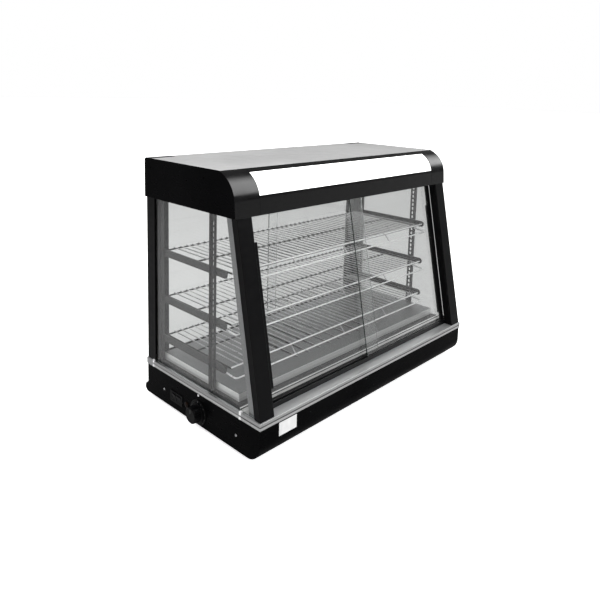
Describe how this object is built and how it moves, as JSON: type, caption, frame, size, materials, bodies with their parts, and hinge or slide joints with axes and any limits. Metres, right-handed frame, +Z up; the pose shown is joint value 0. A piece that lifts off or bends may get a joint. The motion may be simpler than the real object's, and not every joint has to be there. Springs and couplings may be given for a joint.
{
  "type": "hot food display case",
  "caption": "Glazed heated counter case with sloping front, sliding glass doors, wire shelves, lit canopy and a black base with a thermostat.",
  "frame": {"origin": "centre of the whole object's footprint, on the surface that it stands on", "axes": "+X to the right along the case's length, +Y to the rear, +Z up; the sloping front faces -Y"},
  "size_m": [0.927, 0.494, 0.685],
  "materials": {
    "black_paint": "gloss black enamel",
    "black_metal": "satin black",
    "black_plastic": "moulded black",
    "stainless": "brushed",
    "chrome": "plated wire",
    "zinc": "zinc plated",
    "grey_steel": "dark grey",
    "grey_panel": "satin light grey",
    "white_diffuser": "opal",
    "white_paint": "gloss white",
    "tube_glass": "frosted white",
    "label": "blank white",
    "rubber": "moulded",
    "amber": "amber lens",
    "clear_glass": "tempered clear"
  },
  "bodies": {
    "case": {"base_shell": "black_paint", "canopy_end_left": "black_paint", "canopy_end_right": "black_paint", "canopy_fascia": "black_paint", "canopy_rear": "black_paint", "diffuser_rail": "black_paint", "front_post_left": "black_metal", "front_post_right": "black_metal", "rear_post_left": "black_metal", "rear_post_right": "black_metal", "front_door_track": "black_metal", "rear_door_track": "black_metal", "thermostat_dial": "black_plastic", "switch_housing": "black_plastic", "cord_inlet": "black_plastic", "trim_front": "stainless", "trim_rear": "stainless", "trim_left": "stainless", "trim_right": "stainless", "deck_pan": "stainless", "heater_cover": "stainless", "glass_strip_left": "stainless", "glass_strip_right": "stainless", "shelf_bottom": "chrome", "shelf_middle": "chrome", "shelf_top": "chrome", "base_bottom_plate": "zinc", "heating_element": "zinc", "thermostat": "zinc", "pilaster_front_left": "grey_steel", "pilaster_front_right": "grey_steel", "pilaster_rear_left": "grey_steel", "pilaster_rear_right": "grey_steel", "shelf_bracket_bottom_left": "grey_steel", "shelf_bracket_bottom_right": "grey_steel", "shelf_bracket_middle_left": "grey_steel", "shelf_bracket_middle_right": "grey_steel", "shelf_bracket_top_left": "grey_steel", "shelf_bracket_top_right": "grey_steel", "canopy_top": "grey_panel", "light_diffuser": "white_diffuser", "lamp_fixture": "white_paint", "lamp_tube": "tube_glass", "label_plate": "label", "foot_front_left": "rubber", "foot_front_right": "rubber", "foot_rear_left": "rubber", "foot_rear_right": "rubber", "indicator_lamp": "amber", "end_glass_left": "clear_glass", "end_glass_right": "clear_glass"},
    "front_door_left": {"front_door_left": "clear_glass", "front_pull_left": "black_plastic"},
    "front_door_right": {"front_door_right": "clear_glass", "front_pull_right": "black_plastic"},
    "rear_door_left": {"rear_door_left": "clear_glass"},
    "rear_door_right": {"rear_door_right": "clear_glass"},
    "thermostat_knob": {"thermostat_knob": "black_plastic"},
    "heat_switch": {"heat_switch": "black_plastic"},
    "light_switch": {"light_switch": "black_plastic"}
  },
  "joints": [
    {"name": "front_door_left_slide", "type": "slide", "parent": "case", "child": "front_door_left", "axis": [1, 0, 0], "range_m": [0, 0.36]},
    {"name": "front_door_right_slide", "type": "slide", "parent": "case", "child": "front_door_right", "axis": [-1, 0, 0], "range_m": [0, 0.42]},
    {"name": "rear_door_left_slide", "type": "slide", "parent": "case", "child": "rear_door_left", "axis": [1, 0, 0], "range_m": [0, 0.38]},
    {"name": "rear_door_right_slide", "type": "slide", "parent": "case", "child": "rear_door_right", "axis": [-1, 0, 0], "range_m": [0, 0.38]},
    {"name": "thermostat_turn", "type": "hinge", "parent": "case", "child": "thermostat_knob", "pos_m": [-0.4375, -0.007, 0.045], "axis": [1, 0, 0], "range_deg": [0, 270]},
    {"name": "heat_switch_rock", "type": "hinge", "parent": "case", "child": "heat_switch", "pos_m": [-0.437, 0.08, 0.045], "axis": [0, 1, 0], "range_deg": [0, 18]},
    {"name": "light_switch_rock", "type": "hinge", "parent": "case", "child": "light_switch", "pos_m": [-0.437, 0.102, 0.045], "axis": [0, 1, 0], "range_deg": [0, 18]}
  ]
}
